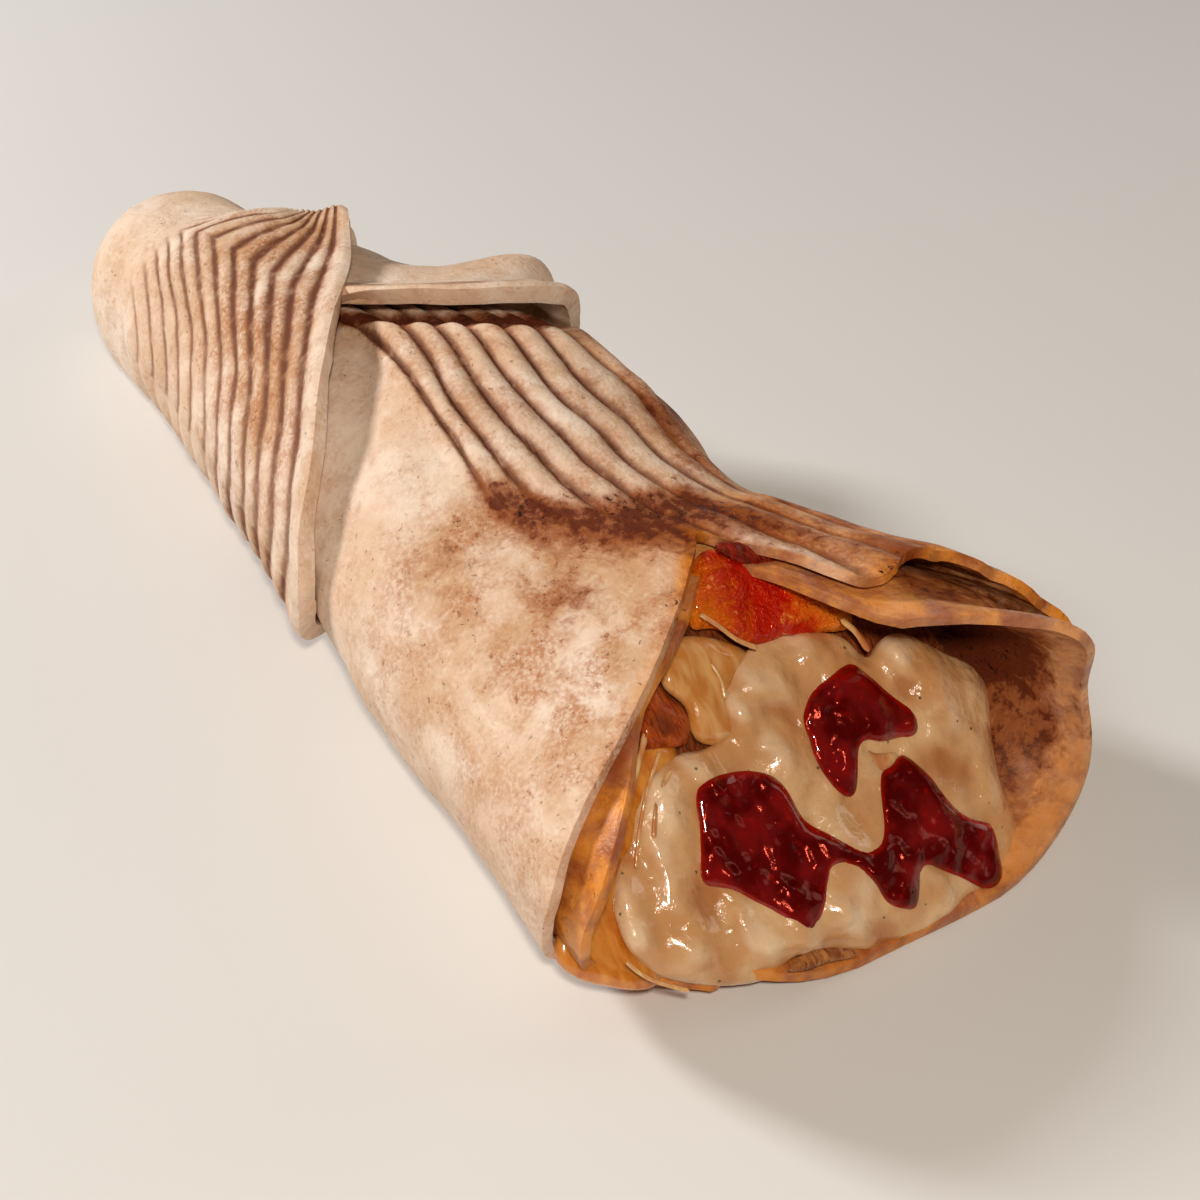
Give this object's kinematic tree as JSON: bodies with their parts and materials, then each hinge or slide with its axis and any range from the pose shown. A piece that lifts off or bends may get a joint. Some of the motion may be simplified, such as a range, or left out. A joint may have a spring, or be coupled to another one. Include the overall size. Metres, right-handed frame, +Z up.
{
  "type": "gyro wrap",
  "caption": "Grilled flatbread wrap lying on its side, hooded over its tail and open at its mouth on chicken, tomato, cabbage, garlic sauce and chilli sauce.",
  "frame": {"origin": "middle of the footprint, on the surface that the wrap lies on", "axes": "+X along the wrap from its hooded tail to its open mouth, +Y to its right side seen from the tail, +Z up"},
  "size_m": [0.2354, 0.1054, 0.0581],
  "materials": {
    "flatbread": "dry, floury and grill-marked",
    "meat": "roasted, slightly oily",
    "garlic_sauce": "wet, creamy gloss",
    "chilli_sauce": "wet, grainy gloss",
    "tomato": "wet and oily",
    "cabbage": "wet and translucent"
  },
  "bodies": {
    "root": {"flatbread": "flatbread", "filling": "meat", "white_sauce": "garlic_sauce", "chilli_sauce_lower": "chilli_sauce", "chilli_sauce_upper": "chilli_sauce", "tomato": "tomato", "cabbage": "cabbage", "chicken_piece": "meat", "bread_scrap": "flatbread"}
  },
  "joints": []
}
